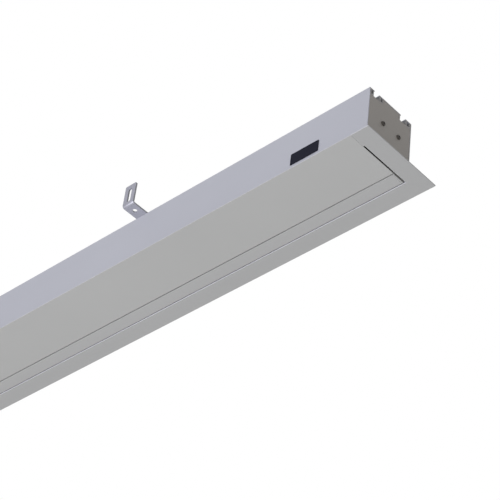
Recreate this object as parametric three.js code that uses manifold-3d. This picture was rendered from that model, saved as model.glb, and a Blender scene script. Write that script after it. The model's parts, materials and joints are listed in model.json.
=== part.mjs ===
// Recessed ceiling projection screen. A long sheet-metal and aluminium housing goes up into the
// ceiling, with a flange round its foot. Inside, a tubular motor turns a roller that lets the
// cloth and its bottom bar down through a slot. A hinged access panel closes the rest of the foot.
// X runs along the housing, -Y is the front, +Z is up, and Z = 0 is the underside of the flange.
import * as THREE from "three";
import { mergeVertices } from "three/addons/utils/BufferGeometryUtils.js";
import Module from "manifold-3d";

const wasm = await Module();
wasm.setup();

// Driving dimensions, in millimetres
const caseLength = 2550;
const caseDepth = 130;
const caseHeight = 162.5;
const wallThickness = 2;
const seatGap = 0.3; // between faces that rest on each other
const runGap = 0.6; // round a piece that turns or slides
const overrun = 2; // how far a cutter passes the face it opens
const roundSteps = 36; // sides of a large round
const smallSteps = 16; // sides of a small round
const arcSteps = 8; // sides of each arc in a drawn outline
const cornerSteps = 4; // sides of a rounded corner

// Tongue on each wall that slides into the edge of the roof
const tongueDepth = 1;
const tongueHeight = 3;
const tongueShare = 0.5; // of the roof's height
const roofEdgeWall = 3;

// The roof's two hanger rails, each with a T-shaped groove
const railDepth = 15;
const railWebThickness = 1.5;
const frontRailWidth = 42;
const backRailWidth = 38;
const frontGrooveInset = 22; // groove centre from the outer face of its wall
const backGrooveInset = 26;
const grooveWidth = 19;
const grooveMouth = 15;
const grooveLipThickness = 2;
const grooveStripWidth = 29;

// Flange
const trimReach = 38;
const trimThickness = 2.5;
const trimLap = 2.5; // how far the end strips reach in under the case
const trimBackLap = 3.6;
const trimLegThickness = 1.5;
const trimLegHeight = 14;

// Slot that the bottom bar closes, and the bar
const slotWidth = 34.6;
const lineGap = 2.4; // between the access panel's edge and the bar
const barBackGap = 0.8;
const barEndGap = 5;
const barLift = 1; // how far the bar lies above the flange's underside
const barHeight = 20;
const barWall = 1.4;
const barCornerRadius = 2.5;
const hemChannelRadius = 3.6;
const hemRodRadius = 3;
const hemNeck = 2.6;
const barCapThickness = 3;
const barCapTenon = 12;

// Access panel with its piano hinge
const panelThickness = 1.5;
const panelEndGap = 3.4;
const panelRibHeight = 12.5;
const panelRibInset = 1; // from the inner face of the front wall
const hingePinRadius = 1.2;
const hingePinGap = 0.2;
const knuckleRadius = 2.3;
const knuckleLength = 34;
const hingePlaceShares = [-0.4, 0, 0.4]; // of the case length

// Rail between panel and slot, and the braces that tie it to the front wall
const railTopShare = 0.375; // of the height of the roller's axis
const railLift = 8.5;
const railSheet = 1.5;
const railLedge = 12;
const bracePlaceShares = [-0.3, 0, 0.3];
const braceWidth = 44;
const braceSheet = 2;
const braceLiftShare = 0.1875; // of the height of the roller's axis
const braceFootHeight = 30;
const braceHeelHeight = 12;

// Magnetic catches that hold the panel up
const catchLength = 34;
const catchDepth = 16;
const catchInset = 6;
const strikeThickness = 1.5;
const strikeMargin = 2;

// Roller, cloth and their fittings
const rollerRadius = 36;
const rollerWall = 1.5;
const rollerEndSpace = 75; // from each end of the roller to the end of the case
const rollerDrop = 66.5; // from the top of the case to the roller's axis
const keyWidth = 5;
const keyDepth = 4;
const clothInset = 40; // from each end of the roller to the cloth
const clothLength = 2000;
const clothThickness = 0.5;
const crownLength = 18;
const crownFlange = 3;
const wheelLength = 30;
const wheelHubRadius = 14;
const wheelRimThickness = 5;
const wheelSpokes = 6;
const wheelSpokeThickness = 4;
const idlerFlange = 3;
const idlerSpigot = 42;
const bearingRadius = 15;
const bearingWidth = 12;
const idlerPinRadius = 6;
const idlerPinTail = 6; // past the bearing

// Tubular motor
const motorRadius = 22.5;
const motorLength = 560;
const motorHeadRadius = 27;
const motorHeadLength = 36;
const motorSpigot = 15; // square
const motorShaftRadius = 6;

// Brackets that carry the roller on the end caps
const bracketThickness = 3;
const bracketHeight = 62;
const bracketWidth = 72;
const bracketBossRadius = 15;
const bracketBossLength = 22;

// End caps, and the black screws through them
const capThickness = 2.5;
const capRecess = 0.5;
const capTabDepth = 18;
const screwSpacing = 47.5;
const screwRadius = 3;
const screwHeadRadius = 5.25;
const screwHeadHeight = 3.3;
const screwLength = 12;
const screwHoleGap = 0.3;

// Receiver for the remote control, the cable inlet and the plate on the front
const receiverLength = 180;
const receiverDepth = 20;
const receiverHeight = 44;
const receiverDrop = 22.5; // from the top of the case to the receiver
const receiverInset = 110; // from the left end cap
const receiverCorner = 3;
const inletRadius = 9;
const inletLip = 3;
const inletBore = 5;
const inletPlaceShares = [0.35, 0.37]; // of the case depth and height
const plateLength = 73;
const plateHeight = 30;
const plateThickness = 1.5;
const plateCorner = 2;
const plateEndInset = 125.5;
const plateLift = 59.7;

// Hanger brackets
const hangerWidth = 32;
const hangerSheet = 4;
const hangerBend = 2; // inner radius
const hangerReach = 43; // outer face of the upright from the wall
const hangerRise = 60.5; // above the top deck
const hangerCorner = 3;
const hangerSlotWidth = 10;
const hangerSlotLength = 40;
const hangerSlotTopMargin = 10;
const hangerHoleRadius = 5.5;
const hangerHoleReach = 20;
const hangerFootMargin = 7;
const hangerFootPlay = 4;
const hangerPlaceShare = 0.25; // of the case length
const boltRadius = 3;
const boltHoleGap = 0.3;
const boltHeadThickness = 4;
const boltTail = 3;
const nutHeight = 6;
const nutRadius = 6;
const nutFlangeRadius = 8;
const nutFlangeThickness = 1.5;

// Places that follow from them
const halfLength = caseLength / 2;
const halfDepth = caseDepth / 2;
const innerDepth = halfDepth - wallThickness;
const caseFoot = trimThickness + seatGap;
const capFace = halfLength - capRecess;
const capInner = capFace - capThickness;
const openingEnd = halfLength - trimLap;
const slotBack = halfDepth - trimBackLap;
const slotFront = slotBack - slotWidth;
const barFront = slotFront + lineGap;
const barBack = slotBack - barBackGap;
const barMiddle = (barFront + barBack) / 2;
const barTop = barLift + barHeight;
const barEnd = openingEnd - barEndGap;
const hemHeight = barTop - barWall - hemChannelRadius;
const panelEdge = slotFront - seatGap;
const panelEnd = openingEnd - panelEndGap;
const railBack = panelEdge - railSheet / 2;
const railFront = railBack - railSheet;
const hingeHeight = panelThickness + seatGap + knuckleRadius;
const hingeDepth = railBack - knuckleRadius;
const rollerHeight = caseHeight - rollerDrop;
const railTop = railTopShare * rollerHeight;
const braceLift = braceLiftShare * rollerHeight;
const woundRadius = Math.sqrt(rollerRadius ** 2 + (clothLength * clothThickness) / Math.PI);
const rollerDepth = barMiddle - clothThickness / 2 - seatGap - woundRadius;
const rollerEnd = halfLength - rollerEndSpace;
const clothEdge = rollerEnd - clothInset;
const rollerBore = rollerRadius - rollerWall;
const motorStart = -rollerEnd - crownFlange - runGap;
const motorEnd = motorStart + motorLength;
const bracketInner = capInner - seatGap - bracketThickness;
const bossEnd = bracketInner - bracketBossLength;
const braceTop = braceLift + braceSheet;

const paint = (name, color, roughness, metalness) =>
  new THREE.MeshStandardMaterial({ name, color, roughness, metalness });
const finishes = {
  housing: paint("housing powder coat", 0xd3d4da, 0.55, 0.1),
  flange: paint("flange powder coat", 0xcfcfcd, 0.55, 0.1),
  cap: paint("end cap powder coat", 0xb9b4ae, 0.6, 0.1),
  bar: paint("bar powder coat", 0xd0d0ce, 0.5, 0.1),
  zinc: paint("zinc plated steel", 0xbcbcc4, 0.4, 0.9),
  blackSteel: paint("black steel", 0x16161a, 0.5, 0.6),
  steel: paint("bright steel", 0xa9adb3, 0.3, 1),
  aluminium: paint("mill aluminium", 0xc3c6c9, 0.4, 0.9),
  nylon: paint("black nylon", 0x26272a, 0.6, 0),
  plate: paint("black gloss plate", 0x10121f, 0.25, 0.1),
  rubber: paint("black rubber", 0x1c1c1c, 0.9, 0),
  cloth: paint("screen cloth", 0xf1f1ee, 0.95, 0),
};

// Solids

const axisX = new THREE.Vector3(1, 0, 0);
const axisY = new THREE.Vector3(0, 1, 0);
const axisZ = new THREE.Vector3(0, 0, 1);

function toSolid(geometry) {
  const bare = geometry.index ? geometry.clone() : geometry;
  bare.deleteAttribute("normal");
  bare.deleteAttribute("uv");
  const merged = mergeVertices(bare);
  return new wasm.Manifold(
    new wasm.Mesh({
      numProp: 3,
      vertProperties: new Float32Array(merged.attributes.position.array),
      triVerts: new Uint32Array(merged.index.array),
    }),
  );
}

function toGeometry(solid) {
  const mesh = solid.getMesh();
  const geometry = new THREE.BufferGeometry();
  geometry.setAttribute("position", new THREE.BufferAttribute(mesh.vertProperties, 3));
  geometry.setIndex(new THREE.BufferAttribute(mesh.triVerts, 1));
  return geometry;
}

const outline = (points) => new THREE.Shape(points.map(([a, b]) => new THREE.Vector2(a, b)));

function withHoles(shape, ...holes) {
  shape.holes.push(...holes);
  return shape;
}

const rectangle = (a0, a1, b0, b1) =>
  outline([
    [a0, b0],
    [a1, b0],
    [a1, b1],
    [a0, b1],
  ]);

function roundedRectangle(a0, a1, b0, b1, radius) {
  const shape = new THREE.Shape();
  shape.moveTo(a0 + radius, b0);
  shape.absarc(a1 - radius, b0 + radius, radius, -Math.PI / 2, 0);
  shape.absarc(a1 - radius, b1 - radius, radius, 0, Math.PI / 2);
  shape.absarc(a0 + radius, b1 - radius, radius, Math.PI / 2, Math.PI);
  shape.absarc(a0 + radius, b0 + radius, radius, Math.PI, 1.5 * Math.PI);
  return shape;
}

function circle(a, b, radius) {
  const shape = new THREE.Shape();
  shape.absarc(a, b, radius, 0, Math.PI);
  shape.absarc(a, b, radius, Math.PI, 2 * Math.PI);
  return shape;
}

// A slot with round ends, length over all, along the first or the second axis of its plane
function stadium(a, b, length, width, upright) {
  const radius = width / 2;
  const reach = length / 2 - radius;
  const shape = new THREE.Shape();
  if (upright) {
    shape.absarc(a, b + reach, radius, 0, Math.PI);
    shape.absarc(a, b - reach, radius, Math.PI, 2 * Math.PI);
  } else {
    shape.absarc(a + reach, b, radius, -Math.PI / 2, Math.PI / 2);
    shape.absarc(a - reach, b, radius, Math.PI / 2, 1.5 * Math.PI);
  }
  return shape;
}

// A prism along +Z from z = 0, with the shape's holes cut right through it
function prism(shape, depth, steps) {
  const curveSegments = steps / 2; // an arc gets two sides for each
  const draw = (face, length) =>
    toSolid(new THREE.ExtrudeGeometry(face, { depth: length, curveSegments, bevelEnabled: false }));
  const face = shape.clone();
  face.holes = [];
  return shape.holes.reduce(
    (solid, hole) =>
      solid.subtract(draw(hole, depth + 2 * overrun).translate(0, 0, -overrun)),
    draw(face, depth),
  );
}

const alongXTurn = new THREE.Matrix4().makeBasis(axisY, axisZ, axisX).elements;
const alongYTurn = new THREE.Matrix4().makeBasis(axisX, axisZ, axisY.clone().negate()).elements;

// A shape drawn in (Y, Z) and drawn out along X, one in (X, Z) along Y, and one in (X, Y) along Z
const alongX = (shape, x0, x1, steps = arcSteps) =>
  prism(shape, x1 - x0, steps).transform(alongXTurn).translate(x0, 0, 0);

const alongY = (shape, y0, y1, steps = arcSteps) =>
  prism(shape, y1 - y0, steps).transform(alongYTurn).translate(0, y1, 0);

const alongZ = (shape, z0, z1, steps = arcSteps) =>
  prism(shape, z1 - z0, steps).translate(0, 0, z0);

function block(x0, x1, y0, y1, z0, z1) {
  const box = new THREE.BoxGeometry(x1 - x0, y1 - y0, z1 - z0);
  return toSolid(box.translate((x0 + x1) / 2, (y0 + y1) / 2, (z0 + z1) / 2));
}

// A profile of [x, radius] points turned round the X axis
function turned(profile, steps = roundSteps) {
  const lathe = new THREE.LatheGeometry(
    profile.map(([x, radius]) => new THREE.Vector2(radius, x)),
    steps,
  );
  return toSolid(lathe.rotateZ(-Math.PI / 2));
}

const rod = (x0, x1, radius, steps) =>
  turned(
    [
      [x0, 0],
      [x0, radius],
      [x1, radius],
      [x1, 0],
    ],
    steps,
  );

const ring = (x0, x1, bore, radius, steps) =>
  turned(
    [
      [x0, bore],
      [x0, radius],
      [x1, radius],
      [x1, bore],
      [x0, bore],
    ],
    steps,
  );

function addPiece(parent, name, solid, finish) {
  const mesh = new THREE.Mesh(toGeometry(solid), finish);
  mesh.name = name;
  parent.add(mesh);
  return mesh;
}

const sides = [
  ["left", -1],
  ["right", 1],
];

// Housing

const roofFloor = caseHeight - railDepth;
const deckFloor = caseHeight - grooveLipThickness;
const frontGroove = -halfDepth + frontGrooveInset;
const backGroove = halfDepth - backGrooveInset;
const tongueMiddle = caseHeight - tongueShare * railDepth;

// Side wall of the case, with the tongue that carries the roof
function caseWall(side) {
  const outer = side * halfDepth;
  const inner = side * innerDepth;
  const tip = side * (innerDepth - tongueDepth);
  const section = outline([
    [outer, caseFoot],
    [inner, caseFoot],
    [inner, tongueMiddle - tongueHeight / 2],
    [tip, tongueMiddle - tongueHeight / 2],
    [tip, tongueMiddle + tongueHeight / 2],
    [inner, tongueMiddle + tongueHeight / 2],
    [inner, caseHeight],
    [outer, caseHeight],
  ]);
  return alongX(section, -halfLength, halfLength);
}

// Outer strip of the roof: a box section that holds the wall's tongue and one side of a groove
function roofEdge(side) {
  const groove = side < 0 ? -frontGroove : backGroove;
  const inner = groove + grooveWidth / 2;
  const lip = groove + grooveMouth / 2;
  const outer = innerDepth - seatGap;
  const tongueHalf = tongueHeight / 2 + seatGap;
  const section = outline([
    [inner, roofFloor],
    [outer, roofFloor],
    [outer, tongueMiddle - tongueHalf],
    [outer - tongueDepth, tongueMiddle - tongueHalf],
    [outer - tongueDepth, tongueMiddle + tongueHalf],
    [outer, tongueMiddle + tongueHalf],
    [outer, caseHeight],
    [lip, caseHeight],
    [lip, deckFloor],
    [inner, deckFloor],
  ]);
  const chamber = rectangle(
    inner + wallThickness,
    outer - roofEdgeWall,
    roofFloor + railWebThickness,
    deckFloor,
  );
  const strip = alongX(withHoles(section, chamber), -halfLength, halfLength);
  return side < 0 ? strip.mirror([0, 1, 0]) : strip;
}

// Middle strip of the roof: the thin deck, with the other side of each groove
function roofMiddle() {
  const front = frontGroove + grooveWidth / 2;
  const back = backGroove - grooveWidth / 2;
  const deckFront = -halfDepth + frontRailWidth;
  const deckBack = halfDepth - backRailWidth;
  const section = outline([
    [front, roofFloor],
    [deckFront, roofFloor],
    [deckFront, deckFloor],
    [deckBack, deckFloor],
    [deckBack, roofFloor],
    [back, roofFloor],
    [back, deckFloor],
    [backGroove - grooveMouth / 2, deckFloor],
    [backGroove - grooveMouth / 2, caseHeight],
    [frontGroove + grooveMouth / 2, caseHeight],
    [frontGroove + grooveMouth / 2, deckFloor],
    [front, deckFloor],
  ]);
  const chamber = rectangle(
    front + wallThickness,
    deckFront - wallThickness,
    roofFloor + railWebThickness,
    deckFloor,
  );
  return alongX(withHoles(section, chamber), -halfLength, halfLength);
}

// Flat strip that closes a groove from below and ties the roof's strips together
function grooveStrip(centre) {
  const end = capInner - seatGap;
  const top = roofFloor - seatGap;
  return block(
    -end,
    end,
    centre - grooveStripWidth / 2,
    centre + grooveStripWidth / 2,
    top - railWebThickness,
    top,
  );
}

// A plate set into the end of the case, with a tab turned in along each wall
function endCap(side) {
  const width = innerDepth - seatGap;
  const railFloor = roofFloor - seatGap;
  const deck = deckFloor - seatGap;
  const raisedFront = -halfDepth + frontRailWidth + seatGap;
  const raisedBack = halfDepth - backRailWidth - seatGap;
  const face = outline([
    [-width, caseFoot],
    [width, caseFoot],
    [width, railFloor],
    [raisedBack, railFloor],
    [raisedBack, deck],
    [raisedFront, deck],
    [raisedFront, railFloor],
    [-width, railFloor],
  ]);
  for (const hand of [-1, 1]) {
    const screwDepth = rollerDepth + (hand * screwSpacing) / 2;
    face.holes.push(circle(screwDepth, rollerHeight, screwRadius + screwHoleGap));
  }
  if (side < 0) {
    face.holes.push(circle(inletDepth, inletHeight, inletRadius));
  }
  const [x0, x1] = side < 0 ? [-capFace, -capInner] : [capInner, capFace];
  const tabTop = railFloor;
  const tabFoot = barTop + runGap;
  const [t0, t1] =
    side < 0 ? [-capFace, -capInner + capTabDepth] : [capInner - capTabDepth, capFace];
  return alongX(face, x0, x1)
    .add(block(t0, t1, -width, -width + capThickness, tabFoot, tabTop))
    .add(block(t0, t1, width - capThickness, width, tabFoot, tabTop));
}

const inletDepth = -inletPlaceShares[0] * caseDepth;
const inletHeight = inletPlaceShares[1] * caseHeight;

function cableInlet() {
  const out = -capFace - seatGap - inletLip;
  const inside = -capInner + seatGap + inletLip;
  const neck = inletRadius - seatGap;
  return turned(
    [
      [out, inletBore],
      [out, neck],
      [out + inletLip, inletRadius + inletLip],
      [out + inletLip, neck],
      [inside - inletLip, neck],
      [inside - inletLip, inletRadius + inletLip],
      [inside, neck],
      [inside, inletBore],
      [out, inletBore],
    ],
    roundSteps / 2,
  ).translate(0, inletDepth, inletHeight);
}

// Button-head screw along +X, with the underside of its head at x = 0
function capScrew() {
  const dome = [];
  const domeSteps = smallSteps / 2;
  for (let i = 0; i <= domeSteps; i++) {
    const turn = (i / domeSteps) * (Math.PI / 2);
    dome.push([screwHeadHeight * Math.sin(turn), screwHeadRadius * Math.cos(turn)]);
  }
  dome[domeSteps][1] = 0;
  return turned([[-screwLength, 0], [-screwLength, screwRadius], [0, screwRadius], ...dome], smallSteps);
}

// The flange: a flat U, open to the front, with a leg that stands round the foot of the case.
// In front of the case its end strips come right up to the access panel.
function trimFrame() {
  const outerEnd = halfLength + trimReach;
  const outerDepth = halfDepth + trimReach;
  const frontEnd = panelEnd + seatGap;
  const frontBack = -halfDepth - seatGap;
  const plate = outline([
    [-outerEnd, -outerDepth],
    [-frontEnd, -outerDepth],
    [-frontEnd, frontBack],
    [-openingEnd, frontBack],
    [-openingEnd, slotBack],
    [openingEnd, slotBack],
    [openingEnd, frontBack],
    [frontEnd, frontBack],
    [frontEnd, -outerDepth],
    [outerEnd, -outerDepth],
    [outerEnd, outerDepth],
    [-outerEnd, outerDepth],
  ]);
  const near = seatGap;
  const far = seatGap + trimLegThickness;
  const leg = outline([
    [-openingEnd, -halfDepth - far],
    [-openingEnd, -halfDepth - near],
    [-halfLength - near, -halfDepth - near],
    [-halfLength - near, halfDepth + near],
    [halfLength + near, halfDepth + near],
    [halfLength + near, -halfDepth - near],
    [openingEnd, -halfDepth - near],
    [openingEnd, -halfDepth - far],
    [halfLength + far, -halfDepth - far],
    [halfLength + far, halfDepth + far],
    [-halfLength - far, halfDepth + far],
    [-halfLength - far, -halfDepth - far],
  ]);
  return alongZ(plate, 0, trimThickness).add(
    alongZ(leg, trimThickness / 2, trimThickness + trimLegHeight),
  );
}

// Hinge knuckle about the panel's axis, still without its bore
const knuckle = (x0, x1) =>
  rod(x0, x1, knuckleRadius, smallSteps).translate(0, hingeDepth, hingeHeight);

const knuckleBore = (x0, x1) =>
  rod(x0 - overrun, x1 + overrun, hingePinRadius + hingePinGap, smallSteps).translate(
    0,
    hingeDepth,
    hingeHeight,
  );

const hingePlaces = hingePlaceShares.map((share) => share * caseLength);

// Sheet rail beside the slot: a web with a ledge, and two knuckles at each hinge
function slotRail() {
  const end = capInner - seatGap;
  let rail = block(-end, end, railFront, railBack, railLift, railTop).add(
    block(-end, end, railFront - railLedge, railBack, railTop - railSheet, railTop),
  );
  for (const place of hingePlaces) {
    for (const hand of [-1, 1]) {
      const centre = place + hand * (knuckleLength + seatGap);
      const x0 = centre - knuckleLength / 2;
      const x1 = centre + knuckleLength / 2;
      rail = rail
        .add(block(x0, x1, railFront, railBack, hingeHeight, railLift + railSheet))
        .add(knuckle(x0, x1))
        .subtract(knuckleBore(x0, x1));
    }
  }
  return rail;
}

function crossBrace(place) {
  const wall = -innerDepth + seatGap;
  const web = railFront - seatGap;
  const section = outline([
    [wall, braceLift],
    [web, braceLift],
    [web, braceTop + braceHeelHeight],
    [web - braceSheet, braceTop + braceHeelHeight],
    [web - braceSheet, braceTop],
    [wall + braceSheet, braceTop],
    [wall + braceSheet, braceTop + braceFootHeight],
    [wall, braceTop + braceFootHeight],
  ]);
  return alongX(section, place - braceWidth / 2, place + braceWidth / 2);
}

const strikeTop = panelThickness + seatGap + strikeThickness;
const catchFront = -innerDepth + catchInset;

const magnetCatch = (place) =>
  alongX(
    rectangle(catchFront, catchFront + catchDepth, strikeTop + seatGap, braceLift - seatGap),
    place - catchLength / 2,
    place + catchLength / 2,
  );

function receiverBox() {
  const front = -innerDepth + seatGap;
  const start = -capInner + receiverInset;
  const top = caseHeight - receiverDrop;
  const face = roundedRectangle(
    start,
    start + receiverLength,
    top - receiverHeight,
    top,
    receiverCorner,
  );
  return alongY(face, front, front + receiverDepth, cornerSteps);
}

function frontPlate() {
  const end = halfLength - plateEndInset;
  const back = -halfDepth - seatGap;
  const face = roundedRectangle(
    end - plateLength,
    end,
    plateLift,
    plateLift + plateHeight,
    plateCorner,
  );
  return alongY(face, back - plateThickness, back, cornerSteps);
}

// Carrier plate for one end of the roller. Its boss holds the motor's square spigot or a round pin.
function rollerBracket(side) {
  const plate = roundedRectangle(
    rollerDepth - bracketWidth / 2,
    rollerDepth + bracketWidth / 2,
    rollerHeight - bracketHeight / 2,
    rollerHeight + bracketHeight / 2,
    bracketBossRadius / 2,
  );
  for (const hand of [-1, 1]) {
    const screwDepth = rollerDepth + (hand * screwSpacing) / 2;
    plate.holes.push(circle(screwDepth, rollerHeight, screwRadius + screwHoleGap));
  }
  const outer = bracketInner + bracketThickness;
  const hole = motorSpigot / 2 + seatGap;
  const boss = rod(bossEnd, bracketInner + bracketThickness / 2, bracketBossRadius).translate(
    0,
    rollerDepth,
    rollerHeight,
  );
  const body = alongX(plate, bracketInner, outer).add(boss);
  const socketBottom = bracketInner + bracketThickness / 2;
  const socket =
    side < 0
      ? block(
          bossEnd - overrun,
          socketBottom,
          rollerDepth - hole,
          rollerDepth + hole,
          rollerHeight - hole,
          rollerHeight + hole,
        )
      : rod(bossEnd - overrun, socketBottom, idlerPinRadius + seatGap, smallSteps).translate(
          0,
          rollerDepth,
          rollerHeight,
        );
  const bracket = body.subtract(socket);
  return side < 0 ? bracket.mirror([1, 0, 0]) : bracket;
}

// Tubular motor: the head is held by the bracket, the tube lies inside the roller

function motorHead() {
  const socketBottom = bracketInner + bracketThickness / 2 - seatGap;
  const headStart = motorStart - seatGap - motorHeadLength;
  const half = motorSpigot / 2;
  return ring(headStart, motorStart - seatGap, 0, motorHeadRadius)
    .add(block(-socketBottom, headStart + overrun, -half, half, -half, half))
    .translate(0, rollerDepth, rollerHeight);
}

const motorTube = () => rod(motorStart, motorEnd, motorRadius).translate(0, rollerDepth, rollerHeight);

// Roller

// Round outline with the folded-in keyway that runs the length of the tube
function keyedOutline(radius, width, depth) {
  const half = Math.asin(width / 2 / radius);
  const shape = new THREE.Shape();
  shape.absarc(0, 0, radius, Math.PI / 2 + half, 2.5 * Math.PI - half);
  shape.lineTo(width / 2, radius - depth);
  shape.lineTo(-width / 2, radius - depth);
  return shape;
}

function rollerTube() {
  const inner = keyedOutline(rollerBore, keyWidth + 2 * rollerWall, keyDepth);
  const tube = withHoles(keyedOutline(rollerRadius, keyWidth, keyDepth), inner);
  return alongX(tube, -rollerEnd, rollerEnd, roundSteps).translate(0, rollerDepth, rollerHeight);
}

const insertRadius = rollerBore - seatGap;
const insertKey = keyWidth + 2 * (rollerWall + seatGap);

const insertOutline = () => keyedOutline(insertRadius, insertKey, keyDepth);

const onRoller = (solid) => solid.translate(0, rollerDepth, rollerHeight);

const woundCloth = () =>
  onRoller(ring(-clothEdge, clothEdge, rollerRadius + seatGap, woundRadius));

// Ring that turns on the motor's tube and counts the turns for the limit switches
function crownRing() {
  const bore = motorRadius + runGap / 2;
  const collar = ring(
    -rollerEnd - crownFlange - seatGap,
    -rollerEnd - seatGap,
    bore,
    rollerRadius,
  );
  const sleeve = withHoles(insertOutline(), circle(0, 0, bore));
  return onRoller(
    collar.add(
      alongX(sleeve, -rollerEnd - seatGap - crownFlange / 2, -rollerEnd + crownLength, roundSteps),
    ),
  );
}

// Spoked wheel on the motor's shaft that drives the tube by its keyway
function driveWheel() {
  const start = motorEnd + runGap;
  const end = start + wheelLength;
  const rimBore = circle(0, 0, insertRadius - keyDepth - wheelRimThickness);
  let wheel = alongX(withHoles(insertOutline(), rimBore), start, end, roundSteps);
  wheel = wheel.add(ring(start, end, 0, wheelHubRadius));
  const reach = insertRadius - keyDepth - wheelRimThickness / 2;
  for (let i = 0; i < wheelSpokes; i++) {
    const spoke = block(
      start,
      end,
      0,
      reach,
      -wheelSpokeThickness / 2,
      wheelSpokeThickness / 2,
    );
    wheel = wheel.add(spoke.rotate([(i * 360) / wheelSpokes + 180 / wheelSpokes, 0, 0]));
  }
  return onRoller(
    wheel.subtract(rod(start - overrun, end + overrun, motorShaftRadius + seatGap, smallSteps)),
  );
}

// The motor's output shaft, which turns with the wheel, with the ring that retains it
function motorShaft() {
  const start = motorEnd + seatGap;
  const wheelEnd = motorEnd + runGap + wheelLength;
  const clip = wheelEnd + seatGap;
  return onRoller(
    rod(start, clip + bracketThickness, motorShaftRadius, smallSteps).add(
      ring(clip, clip + bracketThickness / 2, 0, motorShaftRadius + 2 * wallThickness, smallSteps),
    ),
  );
}

const bearingStart = rollerEnd - bearingWidth;

function idlerPlug() {
  const pocket = bearingRadius + seatGap;
  const flangeStart = rollerEnd + seatGap;
  const flangeEnd = flangeStart + idlerFlange;
  const spigotEnd = flangeStart + idlerFlange / 2;
  const body = alongX(insertOutline(), rollerEnd - idlerSpigot, spigotEnd, roundSteps).add(
    rod(flangeStart, flangeEnd, rollerRadius),
  );
  return onRoller(
    body
      .subtract(rod(bearingStart - seatGap, flangeEnd + overrun, pocket))
      .subtract(
        rod(
          rollerEnd - idlerSpigot - overrun,
          flangeEnd + overrun,
          idlerPinRadius + wallThickness,
          smallSteps,
        ),
      ),
  );
}

const idlerBearing = () =>
  onRoller(ring(bearingStart, rollerEnd, idlerPinRadius + hingePinGap, bearingRadius));

// Fixed pin between the right bracket and the bearing, with a shoulder against the bearing
function idlerPin() {
  const socketBottom = bracketInner + bracketThickness / 2 - seatGap;
  const shoulder = rollerEnd + seatGap;
  return onRoller(
    rod(bearingStart - idlerPinTail, socketBottom, idlerPinRadius, smallSteps).add(
      ring(
        shoulder,
        bossEnd - seatGap,
        0,
        idlerPinRadius + wallThickness,
        smallSteps,
      ),
    ),
  );
}

// Bottom bar and the cloth that carries it

function bottomBarSection() {
  const neckTurn = Math.asin(hemNeck / 2 / hemChannelRadius);
  const up = Math.PI / 2;
  const shape = new THREE.Shape();
  shape.moveTo(barFront + barCornerRadius, barLift);
  shape.absarc(barBack - barCornerRadius, barLift + barCornerRadius, barCornerRadius, -up, 0);
  shape.lineTo(barBack, barTop);
  shape.lineTo(barMiddle + hemNeck / 2, barTop);
  shape.absarc(barMiddle, hemHeight, hemChannelRadius, up - neckTurn, up + neckTurn, true);
  shape.lineTo(barMiddle - hemNeck / 2, barTop);
  shape.lineTo(barFront, barTop);
  shape.absarc(barFront + barCornerRadius, barLift + barCornerRadius, barCornerRadius, 2 * up, 3 * up);
  const house = hemChannelRadius + barWall;
  const hollow = outline([
    [barFront + barWall, barLift + barWall],
    [barBack - barWall, barLift + barWall],
    [barBack - barWall, barTop - barWall],
    [barMiddle + house, barTop - barWall],
    [barMiddle + house, hemHeight - house],
    [barMiddle - house, hemHeight - house],
    [barMiddle - house, barTop - barWall],
    [barFront + barWall, barTop - barWall],
  ]);
  return withHoles(shape, hollow);
}

function barCap(side) {
  const face = roundedRectangle(barFront, barBack, barLift, barTop, barCornerRadius);
  const inset = barWall + seatGap;
  const tenon = rectangle(
    barFront + inset,
    barBack - inset,
    barLift + inset,
    hemHeight - hemChannelRadius - barWall - seatGap,
  );
  const cap = alongX(face, barEnd - barCapThickness, barEnd, cornerSteps).add(
    alongX(tenon, barEnd - barCapThickness - barCapTenon, barEnd - barCapThickness / 2),
  );
  return side < 0 ? cap.mirror([1, 0, 0]) : cap;
}

const barBodyEnd = barEnd - barCapThickness - seatGap;

const hemRod = () =>
  rod(-clothEdge, clothEdge, hemRodRadius, smallSteps).translate(
    0,
    barMiddle,
    hemHeight + seatGap,
  );

const hangingCloth = () =>
  block(
    -clothEdge,
    clothEdge,
    barMiddle - clothThickness / 2,
    barMiddle + clothThickness / 2,
    hemHeight + 2 * seatGap + hemRodRadius,
    rollerHeight,
  );

// Access panel: one folded sheet that is both the front of the flange and the floor of the case

function accessPanel() {
  const rib = -innerDepth + panelRibInset;
  const section = outline([
    [-halfDepth - trimReach, 0],
    [panelEdge, 0],
    [panelEdge, panelThickness],
    [rib + panelThickness, panelThickness],
    [rib + panelThickness, panelThickness + panelRibHeight],
    [rib, panelThickness + panelRibHeight],
    [rib, panelThickness],
    [-halfDepth - trimReach, panelThickness],
  ]);
  let panel = alongX(section, -panelEnd, panelEnd);
  for (const place of hingePlaces) {
    const x0 = place - knuckleLength / 2;
    const x1 = place + knuckleLength / 2;
    panel = panel
      .add(
        block(
          x0,
          x1,
          hingeDepth - knuckleRadius,
          hingeDepth,
          panelThickness / 2,
          hingeHeight,
        ),
      )
      .add(knuckle(x0, x1))
      .subtract(knuckleBore(x0, x1));
  }
  return panel;
}

function hingePin(place) {
  const reach = 1.5 * knuckleLength + seatGap;
  return rod(place - reach, place + reach, hingePinRadius, smallSteps).translate(
    0,
    hingeDepth,
    hingeHeight,
  );
}

const strikePlate = (place) =>
  block(
    place - catchLength / 2 - strikeMargin,
    place + catchLength / 2 + strikeMargin,
    catchFront - strikeMargin,
    catchFront + catchDepth + strikeMargin,
    panelThickness + seatGap,
    strikeTop,
  );

// Hangers, drawn with the wall's outer face at y = 0, outwards along -Y, and the deck at z = 0

const footSlotInset = (frontGrooveInset + backGrooveInset) / 2;
const footSlotLength =
  Math.abs(backGrooveInset - frontGrooveInset) + 2 * (boltRadius + boltHoleGap) + hangerFootPlay;
const footEnd = footSlotInset + footSlotLength / 2 + hangerFootMargin;

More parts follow.
